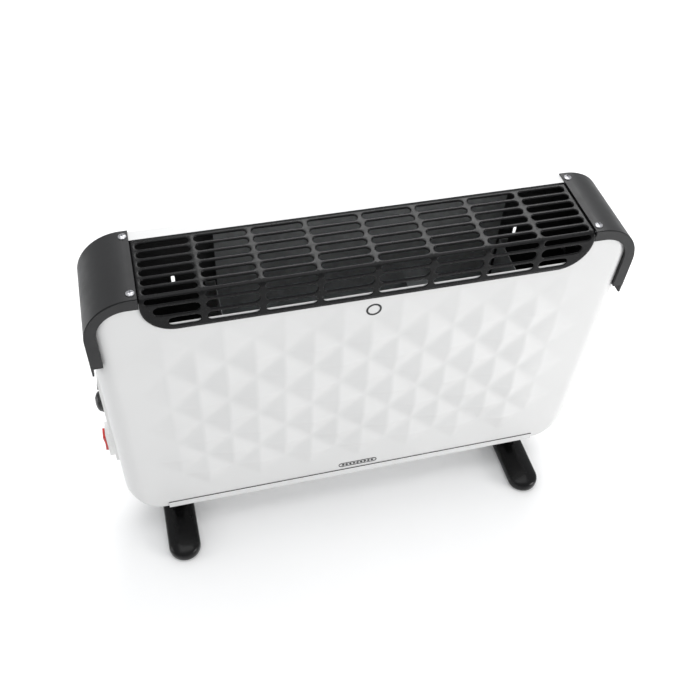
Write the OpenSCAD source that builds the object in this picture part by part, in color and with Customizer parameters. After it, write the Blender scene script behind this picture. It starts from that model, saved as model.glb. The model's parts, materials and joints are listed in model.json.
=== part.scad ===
// Fan convector heater: a sheet-steel case on two cross feet, with an outlet
// grille folded over its top front edge, two corner caps, a control plate on
// the left side and a fan that feeds the heating chamber.
// Millimetres. +X right, +Y back, +Z up. The origin lies on the floor at the
// centre of the overall box.

/* [Case] */
// Width of the steel case
case_w = 530; // [500:5:560]
// Depth of the steel case, front face to back face
case_d = 88; // [84:1:100]
// Height of the underside of the case above the floor
case_bottom = 55; // [50:1:70]
// Height of the top of the case
case_top = 395.5; // [380:0.5:430]
// Radius of the lower corners, seen from the front
lower_r = 40; // [20:1:45]
// Radius of the upper corners, seen from the front
upper_r = 45; // [30:1:50]
// Radius of the upright edges, seen from above
upright_r = 20; // [8:1:30]
// Thickness of the sheet steel
sheet = 0.6; // [0.6:0.1:1.2]

/* [Embossed diamonds] */
// Distance between diamonds along a row
diamond_pitch_x = 57.6; // [50:0.1:60]
// Distance between rows that line up
diamond_pitch_z = 59.3; // [50:0.1:65]
// Half the width of a diamond
diamond_a = 25; // [18:0.5:27]
// Half the height of a diamond
diamond_b = 25.5; // [18:0.5:27]
// How far a diamond stands out of the panel
diamond_rise = 4.4; // [1:0.1:6]

/* [Outlet grille] */
// Width of the grille
grille_w = 429; // [400:1:440]
// Distance between slots along a row
slot_pitch_x = 53.2; // [50:0.1:54]
// Distance between the rows of the top
slot_pitch_y = 11.6; // [10:0.1:12]
// Length of a slot
slot_len = 47.8; // [30:0.1:49]
// Width of a slot of the top
slot_w = 7.6; // [5:0.1:8]
// Height of the grille's lower edge, on the front
flap_bottom = 353.5; // [350:0.5:356]

/* [Corner caps] */
// How far a cap reaches from the centre line
cap_reach = 267; // [266:0.5:270]
// Height of the top of a cap
cap_top = 397; // [396:0.5:399]
// Height of a cap's lower tip
cap_tip = 305; // [290:1:320]
// Distance from the centre line to a cap's inner edge
cap_inner = 215; // [214.8:0.1:218]

/* [Feet] */
// Length of a foot, front to back
foot_len = 176; // [150:1:200]
// Width of a foot
foot_w = 36.6; // [30:0.1:44]
// Distance from the centre line to a foot's centre
foot_x = 212.5; // [180:0.5:215]
// Height of a foot's crown
foot_crown = 17; // [14:0.5:22]

/* [Controls] */
// How far the control plate stands out of the left side
plate_rise = 3.2; // [2.6:0.1:5]
// Height of the thermostat knob's centre
knob_z = 212; // [205:1:214]
// Radius of the thermostat knob
knob_r = 11.5; // [10:0.5:14]
// How far the knob stands out of the plate
knob_rise = 7.9; // [6:0.1:9]
// Height of the heat rocker's centre
heat_z = 145; // [142:1:148]
// How far the heat rocker stands out of the plate
rocker_rise = 10; // [9:0.1:12]
// Height of the fan rocker's centre
fan_z = 240; // [238:1:244]

/* [Fan and heater] */
// Height of the fan's centre
blower_z = 110; // [105:1:115]
// Radius of the fan's duct
duct_r = 33.5; // [28:0.5:33.5]
// Number of fan blades
blades = 7; // [5:1:9]
// Height of the lower heating bar
low_bar_z = 178; // [175:1:182]
// Height of the upper heating bar
high_bar_z = 232; // [228:1:236]

/* [Wall fixing] */
// Distance between the two slots for a wall bracket's hooks
hook_pitch = 360; // [300:1:380]
// Height of the hook slots' centres
hook_z = 326.5; // [310:0.5:335]
// Width of a hook slot
hook_w = 3.4; // [3:0.1:6]

/* [Hidden] */
$fn = 64;

far = 600;                       // longer than the object in any direction
gap = 0.3;                       // clearance between neighbouring pieces
half_w = case_w / 2;
half_d = case_d / 2;
knob_base = 0.4;                 // air between the knob and the plate
left_reach = half_w + plate_rise + rocker_rise;
centre_x = (left_reach - cap_reach) / 2;   // puts the overall box over the origin
seam_y = 8;                      // where the front and rear panels meet
outlet_half = 205;               // half the width of the outlet behind the flap
outlet_sill = 361;               // top of the front panel behind the flap
outlet_step = 372;               // above this the outlet is wider
outlet_wide = 211.5;             // half the width above the step
flange_y = 32.2;                 // front edge of the rear panel's top flange
tray_half = 222;                 // half the width of the base tray
tray_t = 1.2;
lip_t = 1.1;                     // thickness of the tray's lips and the grille
lip_top = case_bottom + 9.5;
plate_x = -half_w - plate_rise;  // outer face of the control plate
plate_t = 1.6;
heat_half_y = 8;                 // the heat switch behind the plate
heat_half_z = 13.5;
fan_half_y = 4.4;                // the fan switch behind the plate
fan_half_z = 6.9;
heat_pivot = -3.5;               // the rockers' pivots, from the plate's face
fan_pivot = 1;
skin_y = half_d + gap;           // inner face of what lies over the case's front
fold_r = 5;                      // outer radius of the grille's fold
flap_y = -skin_y - lip_t;        // outer face of the grille's flap
fold_z = case_top - fold_r;      // top of the flat part of the flap
opening_spare = 1.5;             // the case's opening runs this far past the grille, under the caps
grille_half = grille_w / 2 + opening_spare;
screw_x = 220;
screw_y = 36.5;
foot_screw_y = 10;
foot_screw_z = 44;               // seat of the screws inside a foot
pad_y = 70;
pad_r = 7;
pad_t = 3.4;
screw_r = 1.8;
hole_r = 2.1;
heads_r = 3.75;
bar_left = -140;                 // inner faces of the two bulkheads
bar_right = 160;
shield_y = 37;
shield_t = 0.5;
bulkhead_t = 0.6;
blower_face = bar_left - bulkhead_t - gap;   // the fan frame's right face
blower_t = 25;
fan_hole_y = 30;                  // the fan's screws, from its centre
fan_hole_z = 33;
motor_r = 15;
cutout_z = 276;                  // centre of the thermal cut-out
terminal_x = -188;
terminal_y = 23;
gland_x = -215;
gland_z = 95;
cord_r = 3.6;

steel_white = [0.90, 0.90, 0.89];
satin_black = [0.16, 0.16, 0.17];
gloss_black = [0.07, 0.07, 0.08];
zinc = [0.66, 0.67, 0.68];
alloy = [0.74, 0.75, 0.76];
bright = [0.80, 0.81, 0.82];
cream = [0.90, 0.88, 0.82];

// ---------- shared shapes ----------

// Moves a piece from the case's centre line to the overall box's centre
module in_frame() {
    translate([centre_x, 0, 0]) children();
}

module block(low, high) {
    translate(low) cube(high - low);
}

// A cylinder along X
module rod_x(x0, x1, y, z, r) {
    translate([x0, y, z]) rotate([0, 90, 0]) cylinder(h = x1 - x0, r = r);
}

// A cylinder along Y
module rod_y(x, y0, y1, z, r) {
    translate([x, y1, z]) rotate([90, 0, 0]) cylinder(h = y1 - y0, r = r);
}

// Extrudes a shape drawn in X and Z from y0 back to y1
module slab_y(y0, y1) {
    translate([0, y1, 0]) rotate([90, 0, 0]) linear_extrude(y1 - y0) children();
}

// A rectangle with a radius for its lower and another for its upper corners
module plate_2d(x0, x1, z0, z1, low_r, high_r) {
    for (side = [x0 + low_r, x1 - low_r])
        translate([side, z0 + low_r]) circle(low_r);
    for (side = [x0 + high_r, x1 - high_r])
        translate([side, z1 - high_r]) circle(high_r);
    translate([x0 + low_r, z0]) square([x1 - x0 - 2 * low_r, low_r]);
    translate([x0 + high_r, z1 - high_r]) square([x1 - x0 - 2 * high_r, high_r]);
    translate([x0, z0 + low_r]) square([x1 - x0, z1 - z0 - low_r - high_r]);
}

// A slot with round ends, lying along X
module slot_2d(length, width) {
    square([length - width, width], center = true);
    for (side = [-1, 1])
        translate([side * (length - width) / 2, 0]) circle(width / 2);
}

// The case as a solid, pulled in by inset on every side
module case_solid(inset) {
    intersection() {
        slab_y(-half_d + inset, half_d - inset)
            plate_2d(-half_w + inset, half_w - inset, case_bottom + inset,
                case_top - inset, lower_r - inset, upper_r - inset);
        linear_extrude(far)
            plate_2d(-half_w + inset, half_w - inset, -half_d + inset,
                half_d - inset, upright_r - inset, upright_r - inset);
    }
}

// The hollow case, before it is cut into panels
module case_shell() {
    difference() {
        case_solid(0);
        case_solid(sheet);
        // the base tray closes the bottom and the control plate the left side
        block([-tray_half - gap, -far, 0], [tray_half + gap, far, case_bottom + tray_t + gap]);
        block([-far, -13, 128], [-half_w + 5, 13, 256]);
        for (x = [-screw_x, screw_x], y = [-screw_y, screw_y])
            translate([x, y, case_top - 5]) cylinder(h = 10, r = hole_r);
    }
}

// A pan-head screw, head up, with the head's seat at z = 0
module pan_screw(length) {
    difference() {
        union() {
            intersection() {
                cylinder(h = 4, r = heads_r);
                translate([0, 0, -3.2]) sphere(r = 5.5);
            }
            translate([0, 0, -length]) cylinder(h = length + 0.5, r = screw_r);
        }
        for (turn = [0, 90])
            rotate([0, 0, turn]) translate([-2.2, -0.6, 0.5]) cube([4.4, 1.2, 3]);
    }
}

// Cuts every corner of a route once, keeping its two ends
function eased(route) = concat(
    [route[0]],
    [for (i = [0 : len(route) - 2], t = [0.25, 0.75])
        route[i] + t * (route[i + 1] - route[i])],
    [route[len(route) - 1]]
);

// The direction of a route at one of its points
function heading(route, i) =
    let (run = route[min(i + 1, len(route) - 1)] - route[max(i - 1, 0)]) run / norm(run);

// The ring of points round a wire. No route runs along Y.
function wire_ring(route, i, r, sides) =
    let (
        ahead = heading(route, i),
        across = cross(ahead, [0, 1, 0]),
        side = across / norm(across),
        up = cross(side, ahead)
    )
    [for (k = [0 : sides - 1])
        route[i] + r * (cos(k * 360 / sides) * side + sin(k * 360 / sides) * up)];

// A wire swept along a route
module wire(corners, r) {
    sides = 8;
    route = eased(eased(corners));
    last = len(route) - 1;
    rings = [for (i = [0 : last]) each wire_ring(route, i, r, sides)];
    walls = [for (i = [0 : last - 1], k = [0 : sides - 1])
        let (a = i * sides, b = a + sides, next = (k + 1) % sides)
        each [[a + k, b + k, b + next], [a + k, b + next, a + next]]];
    ends = [
        [for (k = [0 : sides - 1]) k],
        [for (k = [0 : sides - 1]) last * sides + sides - 1 - k]
    ];
    polyhedron(points = rings, faces = concat(walls, ends));
}

// ---------- case ----------

// How strongly the emboss stands out, fading towards the panel's borders
function diamond_share(x, z) =
    (z > 310 ? 0.5 : z < 130 ? 0.75 : 1) * (abs(x) > 190 ? 0.4 : 1);

// One embossed diamond, a low pyramid whose foot is sunk in the sheet
module diamond(x, z, rise) {
    sunk = sheet / 2;
    translate([x, -half_d, z]) polyhedron(
        points = [
            [-diamond_a, sunk, 0], [0, sunk, -diamond_b],
            [diamond_a, sunk, 0], [0, sunk, diamond_b], [0, -rise, 0]
        ],
        faces = [[0, 4, 1], [1, 4, 2], [2, 4, 3], [3, 4, 0], [0, 1, 2, 3]]
    );
}

module diamond_field() {
    first_z = 293.5;
    for (row = [0 : 3], column = [-3 : 3]) {
        x = column * diamond_pitch_x;
        z = first_z - row * diamond_pitch_z;
        diamond(x, z, diamond_rise * diamond_share(x, z));
    }
    for (row = [0 : 3], column = [-4 : 3]) {
        x = (column + 0.5) * diamond_pitch_x;
        z = first_z + (0.5 - row) * diamond_pitch_z;
        diamond(x, z, diamond_rise * diamond_share(x, z));
    }
}

module front_panel() {
    color(steel_white) in_frame() {
        difference() {
            case_shell();
            block([-far, seam_y, 0], [far, far, far]);
            block([-outlet_half, -far, outlet_sill], [outlet_half, far, far]);
            block([-outlet_wide, -far, outlet_step], [outlet_wide, far, far]);
            block([-grille_half, -far, fold_z], [grille_half, far, far]);
        }
        diamond_field();
    }
}

module inlet_louvres() {
    for (column = [-3 : 3], row = [0 : 5])
        translate([column * 54, 104 + row * 11]) slot_2d(44, 5);
}

// Upright slots that hang the heater on a wall bracket's hooks
module hook_slots() {
    for (side = [-1, 1])
        translate([side * hook_pitch / 2, hook_z]) rotate(90) slot_2d(13, hook_w);
}

case_screw_spots = [[-246, 130], [246, 130], [-246, 290], [246, 290], [-120, 76], [120, 76]];

module rear_panel() {
    color(steel_white) in_frame() {
        difference() {
            case_shell();
            block([-far, -far, 0], [far, seam_y + gap, far]);
            block([-grille_half, -far, outlet_sill], [grille_half, flange_y, far]);
            slab_y(half_d - 5, half_d + 5) {
                inlet_louvres();
                hook_slots();
                translate([gland_x, gland_z]) circle(6.3);
                for (spot = case_screw_spots) translate(spot) circle(hole_r);
            }
        }
    }
}

module base_tray() {
    color(steel_white) in_frame() {
        difference() {
            block([-tray_half, -skin_y - lip_t, case_bottom],
                [tray_half, skin_y + lip_t, case_bottom + tray_t]);
            for (column = [-3 : 3], row = [-2 : 2])
                translate([column * 52, row * 12, 0])
                    linear_extrude(far) slot_2d(42, 6);
            for (x = [-foot_x, foot_x], y = [-foot_screw_y, foot_screw_y])
                translate([x, y, 0]) cylinder(h = far, r = hole_r);
        }
        for (side = [0, 1]) mirror([0, side, 0])
            block([-tray_half, -skin_y - lip_t, case_bottom + tray_t],
                [tray_half, -skin_y, lip_top]);
    }
}

// ---------- outlet grille ----------

columns = [-3.5 : 1 : 3.5];

module grille_top() {
    rows = 6;
    first_y = 23;
    back_y = 31.7;
    front_y = flap_y + fold_r;
    translate([0, 0, case_top - lip_t]) linear_extrude(lip_t) difference() {
        translate([-grille_w / 2, front_y]) square([grille_w, back_y - front_y]);
        for (column = columns, row = [0 : rows - 1])
            translate([column * slot_pitch_x, first_y - row * slot_pitch_y])
                slot_2d(slot_len, slot_w);
    }
}

// Flap slots: the end ones are shorter, to clear the flap's round corners
module flap_slot(column, z, height, end_cut) {
    cut = abs(column) > 3 ? end_cut : 0;
    side = column < 0 ? -1 : 1;
    translate([column * slot_pitch_x - side * cut / 2, z]) slot_2d(slot_len - cut, height);
}

module grille_flap() {
    upper_row_z = 378;
    lower_row_z = 363.8;
    corner_r = 31;
    slab_y(flap_y, flap_y + lip_t) difference() {
        intersection() {
            plate_2d(-grille_w / 2, grille_w / 2, flap_bottom, case_top, corner_r, 1);
            translate([-grille_w / 2, flap_bottom]) square([grille_w, fold_z - flap_bottom]);
        }
        for (column = columns) {
            flap_slot(column, upper_row_z, 10.6, 6.5);
            flap_slot(column, lower_row_z, 9.6, 18.5);
        }
    }
}

// The folded edge, with its own row of slots
module grille_fold() {
    axis_y = flap_y + fold_r;
    difference() {
        intersection() {
            rod_x(-grille_w / 2, grille_w / 2, axis_y, fold_z, fold_r);
            block([-far, axis_y - fold_r, fold_z], [far, axis_y, fold_z + fold_r]);
        }
        rod_x(-far, far, axis_y, fold_z, fold_r - lip_t);
        for (column = columns)
            slab_y(-far, axis_y - 2) {
                translate([column * slot_pitch_x, fold_z + 0.4]) slot_2d(slot_len, 6.4);
            }
    }
}

module outlet_grille() {
    color(gloss_black) in_frame() {
        grille_top();
        grille_flap();
        grille_fold();
        // end tongues that hook under the case
        for (side = [0, 1], y = [-26, 14]) mirror([side, 0, 0]) {
            block([207, y, case_top - 3.4], [219, y + 12, case_top - 2.2]);
            block([211, y, case_top - 3.4], [212.4, y + 12, case_top - 0.4]);
        }
    }
}

// ---------- corner caps ----------

// The outline that a right-hand cap fills, seen from the front
module cap_outline(inset, tip) {
    difference() {
        plate_2d(-cap_reach + inset, cap_reach - inset, 0, cap_top - inset,
            upper_r, upper_r + 1 - inset);
        translate([-far, -far]) square([far + cap_inner, 2 * far]);
        translate([-far, -far]) square([2 * far, far + tip]);
    }
}

module cap() {
    band_y = 44.2;
    frame_y = skin_y + lip_t;
    frame_w = 11.3;
    frame_r = 30;
    frame_tip = cap_tip + 11;
    rib_y = 36;
    fit = 0.2;
    difference() {
        union() {
            // outer band over the top and the side
            slab_y(-band_y, band_y) cap_outline(0, cap_tip);
            // frames over the front and the back, set in a little
            for (turn = [0, 1]) mirror([0, turn, 0])
                slab_y(-frame_y, -rib_y) cap_outline(0.7, frame_tip);
        }
        slab_y(-far, far)
            plate_2d(-far, cap_reach - frame_w, 0, cap_top - frame_w - 0.5, frame_r, frame_r);
        // only the side wall runs down to the tip
        block([-far, -far, 0], [half_w + fit, far, frame_tip]);
        case_solid(-fit);
        slab_y(-rib_y, rib_y)
            plate_2d(-far, half_w + fit, 0, case_top + fit, upper_r, upper_r + fit);
        for (y = [-screw_y, screw_y])
            translate([screw_x, y, 380]) cylinder(h = 30, r = hole_r);
    }
}

module cap_right() {
    color(satin_black) in_frame() cap();
}

module cap_left() {
    color(satin_black) in_frame() mirror([1, 0, 0]) cap();
}

module cap_screws() {
    color(bright) in_frame()
        for (x = [-screw_x, screw_x], y = [-screw_y, screw_y])
            translate([x, y, cap_top]) pan_screw(9);
}

module case_screws() {
    color(bright) in_frame()
        for (spot = case_screw_spots)
            translate([spot[0], half_d, spot[1]]) rotate([-90, 0, 0]) pan_screw(6);
}

// ---------- feet ----------

module foot() {
    crown_r = 34;
    sole = 1.6;
    post_half_x = 15;
    post_half_y = 18;
    difference() {
        union() {
            // a bar with round ends and a crowned top
            intersection() {
                translate([0, 0, sole]) linear_extrude(foot_crown - sole)
                    rotate([0, 0, 90]) slot_2d(foot_len, foot_w);
                rod_y(0, -far, far, foot_crown - crown_r, crown_r);
            }
            // the post up to the base tray
            translate([0, 0, sole]) linear_extrude(case_bottom - sole)
                translate([-post_half_x, -post_half_y])
                    square([2 * post_half_x, 2 * post_half_y]);
        }
        for (y = [-foot_screw_y, foot_screw_y]) {
            translate([0, y, 0]) cylinder(h = far, r = hole_r);
            translate([0, y, 0]) cylinder(h = foot_screw_z, r = 5);
        }
        for (y = [-pad_y, pad_y])
            translate([0, y, 0]) cylinder(h = pad_t, r = pad_r + 0.2);
    }
}

module foot_left() {
    color(gloss_black) in_frame() translate([-foot_x, 0, 0]) foot();
}

module foot_right() {
    color(gloss_black) in_frame() translate([foot_x, 0, 0]) foot();
}

module foot_pads() {
    color([0.10, 0.10, 0.10]) in_frame()
        for (x = [-foot_x, foot_x], y = [-pad_y, pad_y])
            translate([x, y, 0]) cylinder(h = pad_t, r = pad_r);
}

module foot_screws() {
    color(bright) in_frame()
        for (x = [-foot_x, foot_x], y = [-foot_screw_y, foot_screw_y])
            translate([x, y, foot_screw_z]) mirror([0, 0, 1]) pan_screw(15);
}

// ---------- marks on the front ----------

module badge() {
    badge_w = 46;
    badge_h = 7;
    badge_z = 73.2;
    color([0.30, 0.31, 0.32]) in_frame() translate([0, -half_d, badge_z]) {
        slab_y(-0.5, 0) difference() {
            slot_2d(badge_w, badge_h);
            slot_2d(badge_w - 1.4, badge_h - 1.4);
        }
        for (i = [-4 : 4])
            slab_y(-0.5, 0) translate([i * 4.4, 0]) rotate(45) square(2.4, center = true);
    }
}

module ring_mark() {
    color([0.30, 0.31, 0.32]) in_frame() translate([0, -half_d, 336.5])
        slab_y(-0.3, 0) difference() {
            circle(7.7);
            circle(5.8);
        }
}

// ---------- controls ----------

module control_plate() {
    color([0.93, 0.93, 0.92]) in_frame() difference() {
        translate([plate_x, 0, 0]) rotate([90, 0, 90]) linear_extrude(plate_rise - gap)
            plate_2d(-20, 20, 122, 262, 12, 12);
        translate([plate_x + plate_t, 0, 0]) rotate([90, 0, 90]) linear_extrude(plate_rise)
            plate_2d(-17.5, 17.5, 124.5, 259.5, 9.5, 9.5);
        block([-far, -heat_half_y - gap, heat_z - heat_half_z - gap],
            [0, heat_half_y + gap, heat_z + heat_half_z + gap]);
        block([-far, -fan_half_y - gap, fan_z - fan_half_z - gap],
            [0, fan_half_y + gap, fan_z + fan_half_z + gap]);
        rod_x(-far, 0, 0, knob_z, 5.2);
    }
}

module thermostat_body() {
    back_x = plate_x + 24;
    color(cream) in_frame() difference() {
        union() {
            rod_x(plate_x + plate_t + gap, plate_x + 8, 0, knob_z, 4.8);
            translate([plate_x + 8, 0, knob_z]) rotate([90, 0, 90])
                linear_extrude(16) plate_2d(-12, 12, -16, 16, 3, 3);
            for (z = [knob_z - 9, knob_z + 9])
                block([back_x, -3, z - 0.6], [back_x + 7, 3, z + 0.6]);
        }
        rod_x(-far, plate_x + 14, 0, knob_z, 3.05);
    }
}

module thermostat_shaft() {
    color(zinc) in_frame()
        rod_x(plate_x - knob_base - 4, plate_x + 13.5, 0, knob_z, 3);
}

module thermostat_knob() {
    dome = knob_rise - 1.6;
    ball_r = (knob_r * knob_r + dome * dome) / (2 * dome);
    top_x = plate_x - knob_base - knob_rise;
    color(gloss_black) in_frame() difference() {
        intersection() {
            rod_x(top_x - 1, plate_x - knob_base, 0, knob_z, knob_r);
            translate([top_x + ball_r, 0, knob_z]) sphere(r = ball_r, $fn = 128);
        }
        rod_x(plate_x - knob_base - 4, 0, 0, knob_z, 3);
        // pointer groove
        block([-far, -0.6, knob_z + 4], [top_x + 3.5, 0.6, knob_z + 9]);
    }
}

// Each housing's rim is wider than its window in the control plate
module heat_switch_housing() {
    color([0.92, 0.92, 0.91]) in_frame()
        translate([plate_x, 0, heat_z]) difference() {
            union() {
                block([-6.7, -9, -19], [0, 9, 19]);
                block([-0.5, -heat_half_y, -heat_half_z], [14, heat_half_y, heat_half_z]);
                for (v = [-6, 6]) block([14, -2.4, v - 0.4], [21, 2.4, v + 0.4]);
            }
            block([-far, -7.2, -12.5], [9.6, 7.2, 12.5]);
            rod_y(heat_pivot, -7.9, 7.9, 0, 1.25);
        }
}

module heat_rocker() {
    half_y = 6.7;
    half_z = 11.2;
    face = -rocker_rise - heat_pivot;   // the outer face, from the pivot
    color([0.80, 0.10, 0.10]) in_frame() translate([plate_x + heat_pivot, 0, heat_z]) {
        slab_y(-half_y, half_y) intersection() {
            circle(half_z);
            translate([-3, -half_z]) square([7, 2 * half_z]);
        }
        slab_y(-half_y, half_y)
            polygon([
                [-2.8, -half_z + 0.2], [face, -half_z], [face + 0.9, 0],
                [face, half_z], [-2.8, half_z - 0.2]
            ]);
        rod_y(0, -7.8, 7.8, 0, 1.2);
    }
}

module fan_switch_housing() {
    color(satin_black) in_frame()
        translate([plate_x, 0, fan_z]) difference() {
            union() {
                block([-0.9, -5.6, -8.2], [0, 5.6, 8.2]);
                block([-0.5, -fan_half_y, -fan_half_z], [12, fan_half_y, fan_half_z]);
                for (v = [-3.5, 3.5]) block([12, -1.6, v - 0.4], [18, 1.6, v + 0.4]);
            }
            block([-far, -3.8, -6.4], [7.6, 3.8, 6.4]);
            rod_y(fan_pivot, -4.3, 4.3, 0, 1.05);
        }
}

// Drawn in its off position, with its upper end pressed in
module fan_rocker() {
    rest_tilt = 8;
    color(gloss_black) in_frame() translate([plate_x + fan_pivot, 0, fan_z])
        rotate([0, rest_tilt, 0]) {
            slab_y(-3.5, 3.5) difference() {
                circle(5.9);
                translate([3.5, -9]) square([20, 18]);
                translate([-22.6, -9]) square([20, 18]);
            }
            slab_y(-3.5, 3.5)
                polygon([[-2.2, -5.4], [-3.4, -5.4], [-2.8, 0], [-3.4, 5.4], [-2.2, 5.4]]);
            rod_y(0, -4.2, 4.2, 0, 1);
        }
}

// ---------- heating chamber ----------

module bulkhead_plate() {
    wall = bulkhead_t;
    low = 62;
    high = 326;
    half_y = 35.5;
    sole = 56.6;
    difference() {
        union() {
            block([-wall, -half_y, low], [0, half_y, high]);
            for (y = [-half_y, half_y - wall])
                block([-10, y, low], [-wall, y + wall, high]);
            // foot flange on the base tray
            block([-12, -half_y, sole], [0, half_y, sole + wall]);
            block([-wall, -half_y, sole], [0, half_y, low]);
        }
        for (z = [low_bar_z, high_bar_z]) rod_x(-far, far, 0, z, 7);
        children();
    }
}

module bulkhead_left() {
    color(zinc) in_frame() translate([bar_left, 0, 0]) bulkhead_plate() {
        rod_x(-far, far, 0, blower_z, duct_r);
        for (y = [-fan_hole_y, fan_hole_y], z = [-fan_hole_z, fan_hole_z])
            rod_x(-far, far, y, blower_z + z, hole_r);
    }
}

module bulkhead_right() {
    color(zinc) in_frame() translate([bar_right, 0, 0]) mirror([1, 0, 0]) bulkhead_plate() {
        rod_x(-far, far, 0, 300, 8);
    }
}

// A shield with a hem along its top edge, turned away from the heat
module shield(high, hem) {
    block([bar_left + 2, shield_y, 66], [bar_right - 2, shield_y + shield_t, high]);
    block([bar_left + 2, shield_y, high], [bar_right - 2, shield_y + hem, high + shield_t]);
}

module rear_heat_shield() {
    color(zinc) in_frame() shield(384, 4);
}

module front_heat_shield() {
    color(zinc) in_frame() mirror([0, 1, 0]) shield(330, 4);
}

// An X-section bar with a sheathed element through its middle
module heating_bar(z) {
    arm = 26;
    difference() {
        union() {
            for (turn = [-45, 45])
                translate([bar_left + 8, 0, z]) rotate([turn, 0, 0])
                    translate([0, -1.2, -arm]) cube([bar_right - bar_left - 16, 2.4, 2 * arm]);
            rod_x(bar_left + 8, bar_right - 8, 0, z, 6);
        }
        // relief slots let the arms grow with heat
        for (x = [bar_left + 32 : 24 : bar_right - 20])
            block([x, -far, z - 30], [x + 2, -8, z + 30]);
        for (x = [bar_left + 32 : 24 : bar_right - 20])
            block([x, 8, z - 30], [x + 2, far, z + 30]);
    }
    rod_x(bar_left - 20, bar_right + 20, 0, z, 3);
}

module heating_bar_upper() {
    color(alloy) in_frame() heating_bar(high_bar_z);
}

module heating_bar_lower() {
    color(alloy) in_frame() heating_bar(low_bar_z);
}

module insulator() {
    difference() {
        union() {
            rod_x(-8, 7, 0, 0, 6.7);
            rod_x(0.3, 5, 0, 0, 9.5);
        }
        rod_x(-far, far, 0, 0, 3.1);
    }
}

module bar_insulators() {
    color([0.93, 0.92, 0.88]) in_frame()
        for (z = [low_bar_z, high_bar_z]) {
            translate([bar_left, 0, z]) insulator();
            translate([bar_right, 0, z]) mirror([1, 0, 0]) insulator();
        }
}

module cutout_bracket() {
    color(zinc) in_frame() {
        block([60, 22, cutout_z - 12], [84, 22.8, cutout_z + 12]);
        block([60, 22.8, cutout_z + 11.2], [84, shield_y - 0.2, cutout_z + 12]);
    }
}

module thermal_cutout() {
    color([0.20, 0.20, 0.21]) in_frame() {
        rod_y(72, 14, 21.8, cutout_z, 8);
        for (x = [66, 76]) block([x, 8, cutout_z - 0.4], [x + 3, 14, cutout_z + 0.4]);
    }
}

// ---------- fan ----------

module fan_frame() {
    half = 38;
    left = blower_face - blower_t;
    color(satin_black) in_frame() difference() {
        translate([left, 0, blower_z]) rotate([90, 0, 90]) linear_extrude(blower_t)
            plate_2d(-34.6, 34.6, -half, half, 6, 6);
        rod_x(left + 3, blower_face + 1, 0, blower_z, duct_r);
        // arms are left between three windows behind the rotor
        difference() {
            rod_x(left - 1, left + 4, 0, blower_z, duct_r);
            rod_x(left - 1, left + 4, 0, blower_z, motor_r + 2.5);
            for (turn = [0, 120, 240]) translate([left - 1, 0, blower_z])
                rotate([turn, 0, 0]) translate([0, -2.5, 0]) cube([5, 5, 60]);
        }
        rod_x(left - 1, left + 4, 0, blower_z, motor_r + 0.1);
        for (y = [-fan_hole_y, fan_hole_y], z = [-fan_hole_z, fan_hole_z])
            rod_x(left - 1, blower_face + 1, y, blower_z + z, hole_r);
    }
}

module fan_motor() {
    left = blower_face - blower_t;
    color(gloss_black) in_frame() difference() {
        rod_x(left - 14, left + 3, 0, blower_z, motor_r);
        rod_x(left - 8, left + 4, 0, blower_z, 1.55);
    }
}

module fan_shaft() {
    left = blower_face - blower_t;
    color(zinc) in_frame() rod_x(left - 7.5, left + 18, 0, blower_z, 1.5);
}

module fan_rotor() {
    left = blower_face - blower_t;
    hub_r = 13;
    reach = duct_r - 1.2;
    color(satin_black) in_frame() translate([left, 0, blower_z]) difference() {
        union() {
            rod_x(4, 21, 0, 0, hub_r);
            for (i = [0 : blades - 1]) rotate([i * 360 / blades, 0, 0])
                intersection() {
                    rod_x(5, 20, 0, 0, reach);
                    translate([12.5, 0, 0]) rotate([0, 0, 38])
                        translate([-12, -0.8, hub_r - 1]) cube([24, 1.6, reach]);
                }
        }
        rod_x(3, 18, 0, 0, 1.5);
    }
}

module fan_screws() {
    color(bright) in_frame()
        for (y = [-fan_hole_y, fan_hole_y], z = [-fan_hole_z, fan_hole_z])
            translate([blower_face - blower_t, y, blower_z + z])
                rotate([0, -90, 0]) pan_screw(blower_t + 4);
}

// ---------- wiring ----------

module terminal_block() {
    color(cream) in_frame() difference() {
        block([terminal_x - 20, terminal_y - 9, case_bottom + tray_t + 0.1],
            [terminal_x + 20, terminal_y + 9, case_bottom + tray_t + 14]);
        for (x = [-12, 0, 12])
            translate([terminal_x + x, terminal_y, case_bottom + tray_t + 8])
                cylinder(h = 20, r = 2.6);
    }
}

module cord_gland() {
    color(satin_black) in_frame() difference() {
        union() {
            rod_y(gland_x, half_d - 6, half_d + 0.1, gland_z, 6);
            rod_y(gland_x, half_d + 0.1, half_d + 3.4, gland_z, 9);
            rod_y(gland_x, half_d - 6, half_d - sheet - 0.3, gland_z, 8);
        }
        rod_y(gland_x, -far, far, gland_z, cord_r);
    }
}

lead_r = 1.2;
block_top = case_bottom + tray_t + 14.1;
live_route = [
    [-200, 23, block_top], [-200, 23, 96], [-222, 12, 118], [-250.7, 0, 128],
    [-250.7, 0, 138.5]
];
neutral_route = [
    [-176, 23, block_top], [-176, 30, 100], [-178, 30, 150], [-172, 16, 168],
    [-168, 0, 178], [-160.1, 0, 178]
];
heater_route = [
    [-237.1, 0, 221], [-224, 0, 221], [-196, 6, 226], [-172, 0, 232], [-160.1, 0, 232]
];
fan_route = [
    [-250.1, 0, 236.5], [-236, -10, 232], [-214, -24, 200], [-206, -26, 140],
    [-196, -8, 112], [-180.2, -6, 110]
];

module live_lead() {
    color([0.45, 0.25, 0.12]) in_frame() wire(live_route, lead_r);
}

module neutral_lead() {
    color([0.15, 0.30, 0.60]) in_frame() wire(neutral_route, lead_r);
}

module heater_lead() {
    color([0.85, 0.85, 0.82]) in_frame() wire(heater_route, lead_r);
}

module fan_lead() {
    color([0.12, 0.12, 0.12]) in_frame() wire(fan_route, lead_r);
}

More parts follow.
